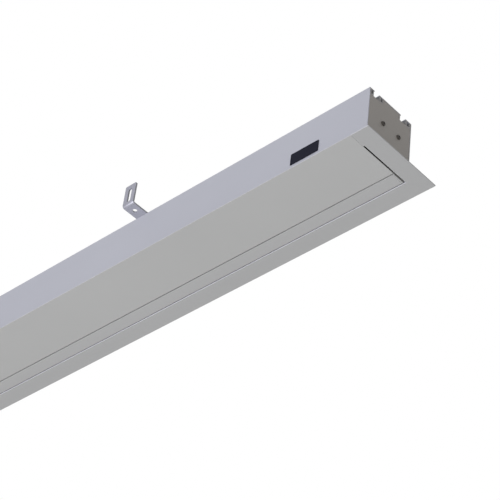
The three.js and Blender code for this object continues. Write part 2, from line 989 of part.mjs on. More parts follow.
function hangerBracket() {
  const half = hangerWidth / 2;
  const bendOuter = hangerBend + hangerSheet;
  const uprightOut = -hangerReach;
  const uprightIn = uprightOut + hangerSheet;
  const floor = seatGap;
  const top = hangerRise;
  const leg = withHoles(
    rectangle(-half, half, uprightOut + bendOuter, footEnd),
    stadium(0, footSlotInset, footSlotLength, 2 * (boltRadius + boltHoleGap), true),
    circle(0, -hangerHoleReach, hangerHoleRadius),
  );
  const upright = new THREE.Shape();
  upright.moveTo(-half, floor + bendOuter);
  upright.lineTo(half, floor + bendOuter);
  upright.absarc(half - hangerCorner, top - hangerCorner, hangerCorner, 0, Math.PI / 2);
  upright.absarc(-half + hangerCorner, top - hangerCorner, hangerCorner, Math.PI / 2, Math.PI);
  const slotCentre = top - hangerSlotTopMargin - hangerSlotLength / 2;
  upright.holes.push(stadium(0, slotCentre, hangerSlotLength, hangerSlotWidth, true));
  const bend = new THREE.Shape();
  const bendDepth = uprightOut + bendOuter;
  bend.absarc(bendDepth, floor + bendOuter, bendOuter, Math.PI, 1.5 * Math.PI);
  bend.absarc(bendDepth, floor + bendOuter, hangerBend, 1.5 * Math.PI, Math.PI, true);
  return alongZ(leg, floor, floor + hangerSheet)
    .add(alongY(upright, uprightOut, uprightIn))
    .add(alongX(bend, -half, half));
}

function hangerBolt(inset) {
  const headWidth = grooveWidth - 2 * seatGap;
  const headTop = -grooveLipThickness - seatGap;
  const tip = 2 * seatGap + hangerSheet + nutHeight + boltTail;
  const shank = alongZ(circle(0, 0, boltRadius), headTop - boltHeadThickness / 2, tip);
  const head = block(
    -headWidth / 2,
    headWidth / 2,
    -headWidth / 2,
    headWidth / 2,
    headTop - boltHeadThickness,
    headTop,
  );
  return shank.add(head).translate(0, inset, 0);
}

function hangerNut(inset) {
  const seat = 2 * seatGap + hangerSheet;
  const hexagon = outline(
    [0, 1, 2, 3, 4, 5].map((i) => [
      nutRadius * Math.cos((i * Math.PI) / 3),
      nutRadius * Math.sin((i * Math.PI) / 3),
    ]),
  );
  const bore = alongZ(
    circle(0, 0, boltRadius + boltHoleGap),
    seat - overrun,
    seat + nutHeight + overrun,
  );
  return alongZ(hexagon, seat, seat + nutHeight)
    .add(alongZ(circle(0, 0, nutFlangeRadius), seat, seat + nutFlangeThickness))
    .subtract(bore)
    .translate(0, inset, 0);
}

// Assembly

const screen = new THREE.Group();
const housing = new THREE.Group();
screen.add(housing);

addPiece(housing, "front_wall", caseWall(-1), finishes.housing);
addPiece(housing, "back_wall", caseWall(1), finishes.housing);
addPiece(housing, "roof_front", roofEdge(-1), finishes.housing);
addPiece(housing, "roof_middle", roofMiddle(), finishes.housing);
addPiece(housing, "roof_back", roofEdge(1), finishes.housing);
addPiece(housing, "groove_strip_front", grooveStrip(frontGroove), finishes.aluminium);
addPiece(housing, "groove_strip_back", grooveStrip(backGroove), finishes.aluminium);
addPiece(housing, "trim_frame", trimFrame(), finishes.flange);
addPiece(housing, "slot_rail", slotRail(), finishes.flange);
addPiece(housing, "receiver_box", receiverBox(), finishes.nylon);
addPiece(housing, "cable_inlet", cableInlet(), finishes.rubber);
addPiece(housing, "front_plate", frontPlate(), finishes.plate);
addPiece(housing, "motor_bracket", rollerBracket(-1), finishes.zinc);
addPiece(housing, "idler_bracket", rollerBracket(1), finishes.zinc);
addPiece(housing, "motor_head", motorHead(), finishes.nylon);
addPiece(housing, "motor_tube", motorTube(), finishes.steel);
addPiece(housing, "idler_pin", idlerPin(), finishes.steel);

for (const [word, side] of sides) {
  addPiece(housing, `end_cap_${word}`, endCap(side), finishes.cap);
  for (const [row, hand] of [
    ["front", -1],
    ["back", 1],
  ]) {
    const screw = addPiece(housing, `cap_screw_${word}_${row}`, capScrew(), finishes.blackSteel);
    screw.rotation.z = side < 0 ? Math.PI : 0;
    screw.position.set(
      side * (capFace + seatGap),
      rollerDepth + (hand * screwSpacing) / 2,
      rollerHeight,
    );
  }
}

const placeWords = ["left", "middle", "right"];
bracePlaceShares.forEach((share, i) => {
  const place = share * caseLength;
  addPiece(housing, `cross_brace_${placeWords[i]}`, crossBrace(place), finishes.zinc);
  addPiece(housing, `panel_catch_${placeWords[i]}`, magnetCatch(place), finishes.nylon);
});

const roller = new THREE.Group();
screen.add(roller);
addPiece(roller, "roller_tube", rollerTube(), finishes.aluminium);
addPiece(roller, "wound_cloth", woundCloth(), finishes.cloth);
addPiece(roller, "crown_ring", crownRing(), finishes.nylon);
addPiece(roller, "drive_wheel", driveWheel(), finishes.nylon);
addPiece(roller, "motor_shaft", motorShaft(), finishes.steel);
addPiece(roller, "idler_plug", idlerPlug(), finishes.nylon);
addPiece(roller, "idler_bearing", idlerBearing(), finishes.steel);

const bar = new THREE.Group();
screen.add(bar);
addPiece(bar, "bottom_bar", alongX(bottomBarSection(), -barBodyEnd, barBodyEnd), finishes.bar);
addPiece(bar, "hem_rod", hemRod(), finishes.aluminium);
addPiece(bar, "screen_cloth", hangingCloth(), finishes.cloth);
for (const [word, side] of sides) {
  addPiece(bar, `bar_cap_${word}`, barCap(side), finishes.bar);
}

const panel = new THREE.Group();
screen.add(panel);
addPiece(panel, "access_panel", accessPanel(), finishes.flange);
bracePlaceShares.forEach((share, i) => {
  addPiece(panel, `strike_plate_${placeWords[i]}`, strikePlate(share * caseLength), finishes.steel);
});
hingePlaces.forEach((place, i) => {
  addPiece(housing, `hinge_pin_${placeWords[i]}`, hingePin(place), finishes.steel);
});

for (const [word, side] of sides) {
  for (const [row, hand, inset] of [
    ["front", -1, frontGrooveInset],
    ["back", 1, backGrooveInset],
  ]) {
    const hanger = new THREE.Group();
    hanger.position.set(side * hangerPlaceShare * caseLength, hand * halfDepth, caseHeight);
    hanger.rotation.z = hand > 0 ? Math.PI : 0;
    screen.add(hanger);
    addPiece(hanger, `hanger_bracket_${row}_${word}`, hangerBracket(), finishes.zinc);
    addPiece(hanger, `hanger_bolt_${row}_${word}`, hangerBolt(inset), finishes.steel);
    addPiece(hanger, `hanger_nut_${row}_${word}`, hangerNut(inset), finishes.steel);
  }
}

export default screen;
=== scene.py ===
# Recessed ceiling projection screen: finishes, dressed pieces, light and camera.
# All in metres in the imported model's frame: X along the case, -Y the front, Z up into the ceiling.
import json
import math

import bmesh
import bpy
from mathutils import Matrix, Vector
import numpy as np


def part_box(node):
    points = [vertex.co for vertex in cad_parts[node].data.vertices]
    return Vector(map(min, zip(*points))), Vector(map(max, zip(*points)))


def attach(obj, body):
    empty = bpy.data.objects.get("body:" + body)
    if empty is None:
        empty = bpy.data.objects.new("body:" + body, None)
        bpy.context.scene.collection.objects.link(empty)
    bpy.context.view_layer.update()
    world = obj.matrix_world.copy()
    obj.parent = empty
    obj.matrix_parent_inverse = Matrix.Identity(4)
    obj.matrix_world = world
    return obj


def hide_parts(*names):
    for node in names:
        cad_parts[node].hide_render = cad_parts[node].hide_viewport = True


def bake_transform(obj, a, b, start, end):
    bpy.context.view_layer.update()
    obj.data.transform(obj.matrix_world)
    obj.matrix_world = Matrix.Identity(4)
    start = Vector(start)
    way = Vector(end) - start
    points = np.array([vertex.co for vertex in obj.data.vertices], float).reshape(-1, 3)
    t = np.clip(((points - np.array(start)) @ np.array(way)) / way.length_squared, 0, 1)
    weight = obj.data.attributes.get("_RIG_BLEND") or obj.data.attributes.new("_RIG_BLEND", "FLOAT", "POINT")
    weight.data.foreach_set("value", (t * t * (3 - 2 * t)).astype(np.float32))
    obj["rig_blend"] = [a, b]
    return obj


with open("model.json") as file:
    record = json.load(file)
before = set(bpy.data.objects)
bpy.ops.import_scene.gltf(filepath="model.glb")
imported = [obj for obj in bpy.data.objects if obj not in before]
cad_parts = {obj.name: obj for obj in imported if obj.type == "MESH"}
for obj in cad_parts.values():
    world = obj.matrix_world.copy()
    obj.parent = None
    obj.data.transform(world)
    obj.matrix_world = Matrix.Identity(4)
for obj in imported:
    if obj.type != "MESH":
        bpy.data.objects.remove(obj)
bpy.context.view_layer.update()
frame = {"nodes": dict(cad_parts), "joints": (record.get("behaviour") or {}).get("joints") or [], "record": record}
behaviour = frame["record"]["behaviour"]
bodyOf = {node: body for body, nodes in behaviour["bodies"].items() for node in nodes}
slotOf = {part["node"]: part["material_slot"] for part in frame["record"]["subparts"]}
print("frame loaded:", len(frame["nodes"]), "nodes")

weldDistance = 1e-4  # joins the loose triangles of a CAD node, and closes specks at their corners
speck = 2e-6  # an edge shorter than this is none, and points nearer than this are one
flatLimit = math.radians(1)  # faces that meet at less are one flat face
roundLimit = math.radians(28)  # narrow faces that meet at less are shaded as one round surface
roundWidth = 0.008  # widest such face
sharpLimit = math.radians(40)  # edges that bend by more are broken
squareOn = 0.9  # a face whose normal has this much along an axis faces that way


# Finishes

# sRGB hex to the linear values that a shader wants
def linear(hexColour):
    channels = [int(hexColour[i : i + 2], 16) / 255 for i in (1, 3, 5)]
    return [c / 12.92 if c <= 0.04045 else ((c + 0.055) / 1.055) ** 2.4 for c in channels] + [1]


# One node with its settings, and its inputs as values or as links
def addNode(tree, kind, inputs=None, **settings):
    node = tree.nodes.new(kind)
    for name, value in settings.items():
        setattr(node, name, value)
    for key, value in (inputs or {}).items():
        if isinstance(value, bpy.types.NodeSocket):
            tree.links.new(value, node.inputs[key])
        else:
            node.inputs[key].default_value = value
    return node


def addObject(name, data):
    thing = bpy.data.objects.new(name, data)
    bpy.context.scene.collection.objects.link(thing)
    return thing


def startMaterial(name, metallic=0.0):
    material = bpy.data.materials.new(name)
    material.use_nodes = True
    tree = material.node_tree
    shader = tree.nodes["Principled BSDF"]
    shader.inputs["Metallic"].default_value = metallic
    place = addNode(tree, "ShaderNodeTexCoord").outputs["Object"]
    return material, tree, shader, place


# Shade from one pattern, gloss from a second and the surface's bumps from a third. All three
# run from 0 to 1.
def dressSurface(tree, shader, look, shade, grain, relief):
    if shade:
        tint = addNode(
            tree,
            "ShaderNodeMix",
            {0: shade, 6: linear(look["dark"]), 7: linear(look["light"])},
            data_type="RGBA",
        )
        tree.links.new(tint.outputs[2], shader.inputs["Base Color"])
    gloss = addNode(
        tree,
        "ShaderNodeMapRange",
        {"Value": grain, "To Min": look["gloss"][0], "To Max": look["gloss"][1]},
    )
    tree.links.new(gloss.outputs["Result"], shader.inputs["Roughness"])
    bump = addNode(
        tree,
        "ShaderNodeBump",
        {"Height": relief, "Strength": look["depth"], "Distance": look["height"]},
    )
    tree.links.new(bump.outputs["Normal"], shader.inputs["Normal"])


# Polyester powder coat baked on aluminium: satin, with an orange peel of soft dimples and a
# shade that drifts a little along the case. Real dimples are 1.5 mm wide, drawn 3 mm to show.
def powderCoat(name, look):
    material, tree, shader, place = startMaterial(name)
    drift = addNode(tree, "ShaderNodeTexNoise", {"Vector": place, "Scale": 1 / look["drift"], "Detail": 3.0})
    grain = addNode(tree, "ShaderNodeTexNoise", {"Vector": place, "Scale": 1 / look["peel"], "Detail": 2.0})
    dressSurface(tree, shader, look, drift.outputs["Fac"], grain.outputs["Fac"], grain.outputs["Fac"])
    return material


# Rolled or drawn metal, plated or bare: cloudy in shade and gloss, with faint lines along the
# rolling, given as how many a metre has along X, Y and Z
def rolledMetal(name, look):
    material, tree, shader, place = startMaterial(name, metallic=look["metal"])
    cloud = addNode(tree, "ShaderNodeTexNoise", {"Vector": place, "Scale": 1 / look["cloud"], "Detail": 4.0})
    stretched = addNode(tree, "ShaderNodeMapping", {"Vector": place, "Scale": look["lines"]})
    lines = addNode(
        tree, "ShaderNodeTexNoise", {"Vector": stretched.outputs["Vector"], "Scale": 1.0, "Detail": 2.0}
    )
    dressSurface(tree, shader, look, cloud.outputs["Fac"], cloud.outputs["Fac"], lines.outputs["Fac"])
    return material


# Moulded plastic or rubber: one colour, with the fine spark-eroded grain of its mould
def moulded(name, look):
    material, tree, shader, place = startMaterial(name)
    shader.inputs["Base Color"].default_value = linear(look["colour"])
    shader.inputs["IOR"].default_value = look["ior"]
    grain = addNode(tree, "ShaderNodeTexVoronoi", {"Vector": place, "Scale": 1 / look["grain"]})
    dressSurface(tree, shader, look, None, grain.outputs["Distance"], grain.outputs["Distance"])
    return material


# drift, peel, cloud and grain are the widths of patterns, height is that of the bumps and depth
# the share of it that shows
satin = {"drift": 0.35, "peel": 0.003, "gloss": (0.42, 0.54), "depth": 0.25, "height": 0.0002}
smoothSatin = {"drift": 0.35, "peel": 0.003, "gloss": (0.4, 0.5), "depth": 0.2, "height": 0.0002}
shortSatin = {"drift": 0.12, "peel": 0.003, "gloss": (0.46, 0.58), "depth": 0.25, "height": 0.0002}
sawMarks = {"drift": 0.02, "peel": 0.0015, "gloss": (0.55, 0.7), "depth": 0.4, "height": 0.0002}
dulled = {"drift": 0.05, "peel": 0.0015, "gloss": (0.6, 0.75), "depth": 0.3, "height": 0.0002}
rolling = {"depth": 0.15, "height": 0.0001}

finishes = {
    # painted light: the housing and flange coats stand for one white coat; the housing's is a little bluer and
    # lighter for the bluish light on the front wall, and the flange's is a little darker for the lesser light on
    # the underside
    "housing": powderCoat("housingCoatPaintedBlueLight", {"dark": "#C4C5CA", "light": "#CCCDD2", **satin}),
    "flange": powderCoat("flangeCoatPaintedShade", {"dark": "#C1C1BD", "light": "#C7C7C3", **satin}),
    # painted shade: the trim frame's coat is a darker copy of the flange coat, for the lesser light on the end and
    # far flanges
    "trim": powderCoat("trimCoatPaintedShade", {"dark": "#BBBBB8", "light": "#C1C1BE", **satin}),
    # painted shade: the end cap's coat is a darker, warmer copy of the white coat, for the shade on the end that
    # faces away from the light
    "cap": powderCoat("capCoatPaintedShade", {"dark": "#AAA59B", "light": "#B2ACA2", **shortSatin}),
    "bar": powderCoat("coatedBar", {"dark": "#BEBEBB", "light": "#C4C4C1", **smoothSatin}),
    # painted highlight: paler coat on the trim frame's thin edges, for the light they catch
    "edge": powderCoat("trimEdgePaintedHighlight", {"dark": "#E4E4E8", "light": "#EAEAEE", **smoothSatin}),
    # painted highlight: paler coat on the front rims, for the soft light line along the case's lower edge
    "rim": powderCoat("frontRimPaintedHighlight", {"dark": "#D6D6D7", "light": "#DCDCDD", **smoothSatin}),
    # bare aluminium, sawn or dulled: matt, with marks half as wide as the coat's dimples; their darker tone is
    # painted shade, of the cut ends and of the chamber walls
    "paintedShadeEnd": powderCoat("sawnEndPaintedShade", {"dark": "#AEAAA3", "light": "#B8B4AD", **sawMarks}),
    "bare": powderCoat("chamberWallPaintedShade", {"dark": "#AAA9A4", "light": "#B4B3AE", **dulled}),
    # bright zinc on mild steel, a soft metal with cloudy patches
    "zinc": rolledMetal(
        "zincPlate",
        {
            "metal": 0.55,
            "dark": "#C2C2CA",
            "light": "#D2D2DA",
            "cloud": 0.018,
            "gloss": (0.38, 0.55),
            "lines": (300, 300, 40),
            **rolling,
        },
    ),
    # where the plated sheet was sheared: duller, with the marks of the blade
    "sheared": rolledMetal(
        "shearedEdge",
        {
            "metal": 0.5,
            "dark": "#98989A",
            "light": "#A8A8AA",
            "cloud": 0.006,
            "gloss": (0.45, 0.6),
            "lines": (900, 200, 200),
            **rolling,
        },
    ),
    # drawn and turned steel, bright
    "steel": rolledMetal(
        "brightSteel",
        {
            "metal": 1.0,
            "dark": "#A4A8AE",
            "light": "#B2B6BC",
            "cloud": 0.03,
            "gloss": (0.25, 0.38),
            "lines": (30, 700, 700),
            **rolling,
        },
    ),
    # extruded aluminium as it leaves the mill, with the lines of its die
    "aluminium": rolledMetal(
        "millAluminium",
        {
            "metal": 1.0,
            "dark": "#BCBFC2",
            "light": "#C8CBCE",
            "cloud": 0.06,
            "gloss": (0.34, 0.46),
            "lines": (8, 900, 900),
            **rolling,
        },
    ),
    # steel screws in black oxide, which looks brown-grey in strong light
    "black_steel": rolledMetal(
        "blackOxide",
        {
            "metal": 0.6,
            "dark": "#5A564F",
            "light": "#656058",
            "cloud": 0.004,
            "gloss": (0.35, 0.5),
            "lines": (600, 600, 600),
            **rolling,
        },
    ),
    # glass-filled nylon, matt
    "nylon": moulded(
        "blackNylon",
        {
            "colour": "#26262A",
            "ior": 1.53,
            "grain": 0.0008,
            "gloss": (0.45, 0.6),
            "depth": 0.2,
            "height": 0.0001,
        },
    ),
    # polished acrylic, all but flat
    "plate": moulded(
        "glossPlate",
        {
            "colour": "#0B0E22",
            "ior": 1.3,
            "grain": 0.02,
            "gloss": (0.12, 0.2),
            "depth": 0.02,
            "height": 0.0001,
        },
    ),
    # nitrile rubber, the most matt of all
    "rubber": moulded(
        "mouldedRubber",
        {
            "colour": "#1C1C1C",
            "ior": 1.52,
            "grain": 0.0006,
            "gloss": (0.65, 0.8),
            "depth": 0.3,
            "height": 0.0001,
        },
    ),
}
bandWidth = math.pi / 10  # of a wave texture at a scale of 1


# Glass-fibre cloth coated with PVC: matt white on the viewing side inside a black masking
# border, black on the back. It reads the cloth's own UV map, in metres from the bar up.
def screenCloth(name, look, white):
    material, tree, shader, _ = startMaterial(name)
    cut = addNode(tree, "ShaderNodeUVMap", uv_map="cut").outputs["UV"]
    across, up = addNode(tree, "ShaderNodeSeparateXYZ", {"Vector": cut}).outputs[:2]
    threads = [
        addNode(
            tree,
            "ShaderNodeTexWave",
            {"Vector": cut, "Scale": bandWidth / look["thread"], "Distortion": look["wander"]},
            bands_direction=direction,
        ).outputs["Fac"]
        for direction in ("X", "Y")
    ]
    weave = addNode(tree, "ShaderNodeMath", {0: threads[0], 1: threads[1]}, operation="MAXIMUM")
    bump = addNode(
        tree,
        "ShaderNodeBump",
        {"Height": weave.outputs[0], "Strength": look["depth"], "Distance": look["height"]},
    )
    tree.links.new(bump.outputs["Normal"], shader.inputs["Normal"])
    shader.inputs["Roughness"].default_value = look["roughness"]
    if white:
        aside = addNode(tree, "ShaderNodeMath", {0: across}, operation="ABSOLUTE").outputs[0]
        limits = (
            (aside, "LESS_THAN", look["viewHalfWidth"]),
            (up, "GREATER_THAN", look["lowerBorder"]),
            (up, "LESS_THAN", look["lowerBorder"] + look["viewHeight"]),
        )
        inside = [
            addNode(tree, "ShaderNodeMath", {0: place, 1: limit}, operation=side).outputs[0]
            for place, side, limit in limits
        ]
        both = addNode(tree, "ShaderNodeMath", {0: inside[0], 1: inside[1]}, operation="MULTIPLY")
        view = addNode(tree, "ShaderNodeMath", {0: both.outputs[0], 1: inside[2]}, operation="MULTIPLY")
        tint = addNode(
            tree,
            "ShaderNodeMix",
            {0: view.outputs[0], 6: linear(look["black"]), 7: linear(look["white"])},
            data_type="RGBA",
        )
        tree.links.new(tint.outputs[2], shader.inputs["Base Color"])
    else:
        shader.inputs["Base Color"].default_value = linear(look["black"])
    return material


cloth = {
    "thickness": 0.00042,
    "pitch": 0.0005,  # from one turn on the roll to the next
    "turns": 7.25,  # of them on the roll
    "thread": 0.00377,  # real threads are 0.4 mm apart, drawn coarser to show
    "wander": 0.4,  # how far they stray from straight
    "depth": 0.12,
    "height": 0.0001,
    "roughness": 0.85,
    "white": "#F2F2EE",
    "black": "#17171A",
    "viewHalfWidth": 1.107,  # 100 inch 16:9 picture
    "viewHeight": 1.245,
    "lowerBorder": 0.05,
    "columns": 24,  # of its mesh
    "rows": 96,
    "turnStep": 7.5,  # degrees from one edge of the wound cloth to the next
}
clothFront = screenCloth("clothFront", cloth, white=True)
clothBack = screenCloth("clothBack", cloth, white=False)
print("finishes made:", len(finishes) + 2)


# Pieces

# Shades the round surfaces smooth, and hands a bmesh over as a piece that rides on a body
def addPiece(shape, name, body, slot, standsFor, materials=None):
    for edge in shape.edges:
        edge.smooth = len(edge.link_faces) == 2 and edge.calc_face_angle() < roundLimit
    for face in shape.faces:
        narrow = face.calc_area() < roundWidth * max(e.calc_length() for e in face.edges)
        bends = [e for e in face.edges if e.smooth and e.calc_face_angle() > flatLimit]
        face.smooth = narrow and len(bends) > 1
    mesh = bpy.data.meshes.new(name)
    shape.to_mesh(mesh)
    shape.free()
    for material in materials or [finishes[slot]]:
        mesh.materials.append(material)
    piece = addObject(name, mesh)
    if body:
        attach(piece, body)
    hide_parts(*standsFor)
    return piece


def sharpEdges(shape, limit=sharpLimit):
    return [e for e in shape.edges if len(e.link_faces) == 2 and e.calc_face_angle() > limit]


# Bevels the edges, and clears what is left too small where bevels meet
def breakEdges(shape, edges, width, segments=2):
    bmesh.ops.bevel(
        shape,
        geom=edges,
        offset=width,
        offset_type="OFFSET",
        affect="EDGES",
        segments=segments,
        profile=0.5,
        material=-1,
        clamp_overlap=True,
    )
    bmesh.ops.dissolve_degenerate(shape, dist=speck, edges=shape.edges)


ownFinish = {"trim_frame": "trim"}  # pieces whose coat is a little darker than the rest of their slot: painted shade
roofChambers = {"foot": 0.1487, "top": 0.1608}  # heights of the chambers and grooves in the roof
flangeEdge = {
    "tilt": -0.25,  # its edges lean forwards by more
    "top": 0.003,  # on the trim frame they lie below this
    "rim": -0.1,  # and the front rim lies in front of this, with the panel's hinge behind
}


# Cut straight across the case
def cutAcross(face):
    return abs(face.normal.x) > squareOn


# Upright walls of the roof's chambers and grooves, which the coat doesn't reach; their darker finish also paints
# the shade inside these recesses
def inRoofChamber(face):
    height = face.calc_center_median().z
    return abs(face.normal.y) > squareOn and roofChambers["foot"] < height < roofChambers["top"]


# Painted highlight: the flange's thin edges, most of all beside the slot, get a paler coat that stands for the
# light they catch
def onTrimEdge(face):
    return face.normal.y < flangeEdge["tilt"] and face.calc_center_median().z < flangeEdge["top"]


# Painted highlight: the front rims of the panel and trim frame get a paler coat for the light line along the
# case's lower edge
def onFrontRim(face):
    return face.normal.y < flangeEdge["tilt"] and face.calc_center_median().y < flangeEdge["rim"]


# faces that differ from the rest of their node: starts of the nodes' names, finish, and which
faceFinishes = [
    # cut ends of the back wall and roof, bare and darker: painted shade
    (("back_wall", "roof"), "paintedShadeEnd", cutAcross),
    (("hanger_bracket",), "sheared", cutAcross),
    (("roof",), "bare", inRoofChamber),
    (("trim_frame",), "edge", onTrimEdge),
    (("access_panel", "trim_frame"), "rim", onFrontRim),  # comes last, so it holds at the corners
]

# lines round the largest face on one side of a node, drawn inwards as (width, rise) rings
seams = [
    # lid of the receiver, let into its box
    ("receiver_box", Vector((0, 1, 0)), [(0.003, 0), (0.0003, -0.0008), (0.0008, 0), (0.0003, 0.0008)]),
    # cover of the motor's limit screws
    ("motor_head", Vector((-1, 0, 0)), [(0.003, 0), (0.0003, -0.0006), (0.0008, 0), (0.0003, 0.0006)]),
    # magnet held in the catch between its rims
    ("panel_catch", Vector((0, 0, -1)), [(0.003, 0), (0.0004, -0.0008)]),
    # disc pressed over the bearing's balls
    ("idler_bearing", Vector((-1, 0, 0)), [(0.0016, 0), (0.0003, -0.0005)]),
]


# A merged copy of a CAD node with its knife edges broken, which stands for that node
def softenNode(node, width):
    shape = bmesh.new()
    shape.from_mesh(frame["nodes"][node].data)
    bmesh.ops.remove_doubles(shape, verts=shape.verts, dist=weldDistance)
    bmesh.ops.dissolve_limit(shape, angle_limit=flatLimit, verts=shape.verts, edges=shape.edges)
    breakEdges(shape, sharpEdges(shape), width)
    shape.normal_update()
    for starts, side, rings in seams:
        if node.startswith(starts):
            facing = [f for f in shape.faces if f.normal.dot(side) > squareOn]
            largest = max(facing, key=lambda f: f.calc_area())
            for ring, rise in rings:
                bmesh.ops.inset_region(shape, faces=[largest], thickness=ring, depth=rise)
            shape.normal_update()
    materials = [finishes[ownFinish.get(node, slotOf[node])]]
    for starts, finish, differs in faceFinishes:
        if node.startswith(starts):
            for face in shape.faces:
                if differs(face):
                    face.material_index = len(materials)
            materials.append(finishes[finish])
    return addPiece(shape, f"{node}_dressed", bodyOf[node], slotOf[node], [node], materials)


# A profile of (x, radius) points turned about X
def turnProfile(profile, steps):
    shape = bmesh.new()
    points = [shape.verts.new((x, 0, radius)) for x, radius in profile]
    line = [shape.edges.new(pair) for pair in zip(points, points[1:])]
    bmesh.ops.spin(
        shape,
        geom=points + line,
        cent=(0, 0, 0),
        axis=(1, 0, 0),
        angle=2 * math.pi,
        steps=steps,
        use_merge=True,
    )
    bmesh.ops.remove_doubles(shape, verts=shape.verts, dist=speck)
    bmesh.ops.recalc_face_normals(shape, faces=shape.faces)
    return shape


capScrew = {
    "headRadius": 0.00525,
    "headHeight": 0.0033,
    "rimHeight": 0.0006,  # straight foot of the head
    "crown": 0.0033,  # flat top round the socket
    "domeSteps": 5,
    "socket": 0.0023,  # corner radius of the hexagon
    "socketDepth": 0.0019,
    "shankRadius": 0.0029,
    "steps": 32,  # round its axis
}


# Button-head screw: a low dome round a hexagon socket
def makeCapScrew(node):
    low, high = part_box(node)
    atRight = low.x > 0
    length = high.x - low.x
    face, rim, crown = capScrew["headHeight"], capScrew["rimHeight"], capScrew["crown"]
    tip, shank, edge = face - length, capScrew["shankRadius"], capScrew["headRadius"]
    profile = [(tip, 0), (tip, shank), (0, shank), (0, edge), (rim, edge)]
    for step in range(1, capScrew["domeSteps"] + 1):
        turn = math.pi / 2 * step / capScrew["domeSteps"]
        profile.append((rim + (face - rim) * math.sin(turn), crown + (edge - crown) * math.cos(turn)))
    shape = turnProfile(profile, capScrew["steps"])
    opening = [e for e in shape.edges if e.is_boundary]
    socket = bmesh.ops.create_circle(
        shape,
        segments=6,
        radius=capScrew["socket"],
        matrix=Matrix.Translation((face, 0, 0)) @ Matrix.Rotation(math.pi / 2, 4, "Y"),
    )["verts"]
    hexagon = list({e for v in socket for e in v.link_edges})
    bmesh.ops.bridge_loops(shape, edges=opening + hexagon)
    sunk = bmesh.ops.extrude_edge_only(shape, edges=hexagon)["geom"]
    floor = [e for e in sunk if isinstance(e, bmesh.types.BMEdge) and e.is_boundary]
    bmesh.ops.translate(
        shape,
        verts=list({v for e in floor for v in e.verts}),
        vec=(-capScrew["socketDepth"], 0, 0),
    )
    bmesh.ops.contextual_create(shape, geom=floor)
    bmesh.ops.recalc_face_normals(shape, faces=shape.faces)
    middle = (low + high) / 2
    seat = Matrix.Translation((high.x - face if atRight else low.x + face, middle.y, middle.z))
    turned = Matrix.Rotation(0 if atRight else math.pi, 4, "Z")
    bmesh.ops.transform(shape, matrix=seat @ turned, verts=shape.verts)
    return addPiece(shape, f"{node}_socketed", bodyOf[node], slotOf[node], [node])


frontPlate = {
    "rim": 0.0018,
    "sink": 0.0004,
    "corner": 0.002,
    "cornerSteps": 6,
    "edge": 0.0003,
    "edgeSteps": 3,
    "edgeLimit": math.radians(60),  # the corners' own bends are less
}


# Small bare plate on the front: gloss face sunk inside a fine raised rim
def makeFrontPlate(node):
    low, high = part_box(node)
    middle = (low + high) / 2
    size = high - low
    shape = bmesh.new()
    bmesh.ops.create_cube(shape, size=1, matrix=Matrix.Translation(middle) @ Matrix.Diagonal((*size, 1)))
    upright = [e for e in shape.edges if abs((e.verts[0].co - e.verts[1].co).y) > size.y / 2]
    breakEdges(shape, upright, frontPlate["corner"], frontPlate["cornerSteps"])
    shape.normal_update()
    face = [f for f in shape.faces if f.normal.y < -squareOn]
    bmesh.ops.inset_region(shape, faces=face, thickness=frontPlate["rim"], use_even_offset=True)
    bmesh.ops.inset_region(shape, faces=face, thickness=frontPlate["edge"], depth=-frontPlate["sink"])
    outer = [
        e
        for e in sharpEdges(shape, frontPlate["edgeLimit"])
        if all(abs(v.co.y - low.y) < speck for v in e.verts)
    ]
    breakEdges(shape, outer, frontPlate["edge"], frontPlate["edgeSteps"])
    return addPiece(shape, "front_plate_rimmed", bodyOf[node], slotOf[node], [node])


# Turns of cloth on the roller, wound with its black back outwards
def makeWoundCloth(node):
    low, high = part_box(node)
    centre = (low + high) / 2
    outer = (high.y - low.y) / 2 - cloth["thickness"] / 2
    inner = outer - cloth["pitch"] * cloth["turns"]
    stepTurn = math.radians(cloth["turnStep"])
    shrink = cloth["pitch"] * cloth["turnStep"] / 360
    steps = int((outer - inner) / shrink)
    shape = bmesh.new()
    last = shape.verts.new((low.x, centre.y + outer, centre.z))
    for step in range(1, steps + 1):
        last = bmesh.ops.extrude_vert_indiv(shape, verts=[last])["verts"][0]
        turn = step * stepTurn
        radius = outer - step * shrink
        last.co = (low.x, centre.y + radius * math.cos(turn), centre.z + radius * math.sin(turn))
    width = bmesh.ops.extrude_edge_only(shape, edges=shape.edges)["geom"]
    bmesh.ops.translate(
        shape,
        verts=[v for v in width if isinstance(v, bmesh.types.BMVert)],
        vec=(high.x - low.x, 0, 0),
    )
    bmesh.ops.recalc_face_normals(shape, faces=shape.faces)
    bmesh.ops.solidify(shape, geom=shape.faces, thickness=cloth["thickness"])
    cutMap = shape.loops.layers.uv.new("cut")
    for face in shape.faces:
        for loop in face.loops:
            loop[cutMap].uv = (loop.vert.co.x, loop.vert.co.z)
    return addPiece(shape, "wound_cloth_turns", bodyOf[node], slotOf[node], [node], [clothBack])


